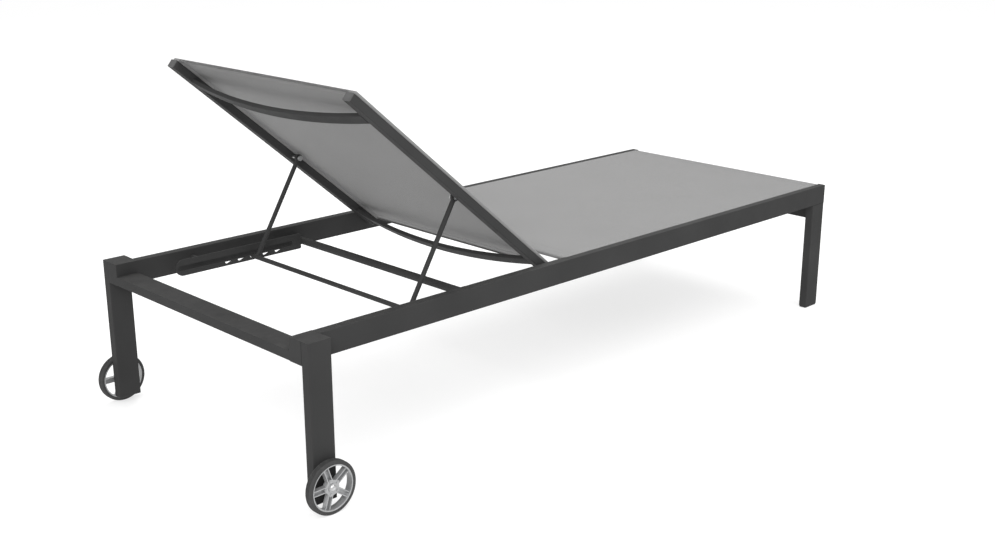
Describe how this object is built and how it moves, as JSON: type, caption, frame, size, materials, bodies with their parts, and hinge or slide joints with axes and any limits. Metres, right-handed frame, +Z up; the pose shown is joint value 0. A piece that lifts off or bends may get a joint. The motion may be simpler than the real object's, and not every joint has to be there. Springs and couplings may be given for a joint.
{
  "type": "reclining sun lounger",
  "caption": "Low sun lounger with a metal frame, stretched mesh slings, a hinged backrest held by a bail in notched racks, and wheels at the head end.",
  "frame": {"origin": "centre of the whole lounger's box at rest, on the floor", "axes": "+X from the head end to the foot end, +Y to the left side of the person lying on it, +Z up"},
  "size_m": [2.031, 0.9136, 0.8764],
  "materials": {
    "frame_paint": "anthracite fine-texture powder coat, semi-matt",
    "seat_fabric": "light grey coated mesh weave",
    "backrest_fabric": "light grey coated mesh weave",
    "tyre_rubber": "matt dark grey rubber, grooved tread",
    "rim_silver": "satin silver",
    "bolt_steel": "zinc-plated, satin",
    "cap_plastic": "matt black moulded",
    "backrest_cap_plastic": "matt dark grey moulded",
    "nylon": "matt dark nylon"
  },
  "bodies": {
    "frame": {"axle_bolts": "bolt_steel", "axle_nuts": "bolt_steel", "axle_spacers": "bolt_steel", "brace_tube": "frame_paint", "foot_crossbar": "frame_paint", "foot_glides": "cap_plastic", "foot_leg_left": "frame_paint", "foot_leg_right": "frame_paint", "head_corner_left": "frame_paint", "head_corner_right": "frame_paint", "head_crossbar": "frame_paint", "head_leg_left": "frame_paint", "head_leg_plugs": "cap_plastic", "head_leg_right": "frame_paint", "hinge_bolts": "bolt_steel", "hinge_inserts": "bolt_steel", "rack_left": "frame_paint", "rack_right": "frame_paint", "rack_screws": "frame_paint", "rack_spacers_foot": "frame_paint", "rack_spacers_head": "frame_paint", "rail_end_caps": "cap_plastic", "seat_hem_rods": "frame_paint", "seat_sling": "seat_fabric", "side_rail_left": "frame_paint", "side_rail_right": "frame_paint"},
    "backrest": {"backrest_rail_left": "frame_paint", "backrest_rail_right": "frame_paint", "backrest_end_caps": "backrest_cap_plastic", "backrest_brace_upper": "frame_paint", "backrest_brace_lower": "frame_paint", "backrest_sling": "backrest_fabric", "bail_pins": "bolt_steel", "hinge_bushes": "nylon"},
    "bail": {"bail_arm_left": "frame_paint", "bail_arm_right": "frame_paint", "bail_rod": "frame_paint", "bail_washers": "nylon"},
    "wheel_left": {"tyre_left": "tyre_rubber", "wheel_rim_left": "rim_silver", "wheel_bush_left": "nylon"},
    "wheel_right": {"tyre_right": "tyre_rubber", "wheel_rim_right": "rim_silver", "wheel_bush_right": "nylon"}
  },
  "joints": [
    {"name": "backrest_recline", "type": "hinge", "parent": "frame", "child": "backrest", "pos_m": [-0.2052, 0, 0.3705], "axis": [0, 1, 0], "range_deg": [-38.6, 10.5]},
    {"name": "bail_swing", "type": "hinge", "parent": "backrest", "child": "bail", "pos_m": [-0.46397, 0, 0.58763], "axis": [0, 1, 0], "range_deg": [-25.5, 93.5]},
    {"name": "wheel_left_spin", "type": "hinge", "parent": "frame", "child": "wheel_left", "pos_m": [-0.9535, 0.4424, 0.062], "axis": [0, 1, 0], "continuous": true},
    {"name": "wheel_right_spin", "type": "hinge", "parent": "frame", "child": "wheel_right", "pos_m": [-0.9535, -0.4424, 0.062], "axis": [0, 1, 0], "continuous": true}
  ],
  "couplings": [
    {"joint": "bail_swing", "follows": "backrest_recline", "ratio": -2.42}
  ]
}
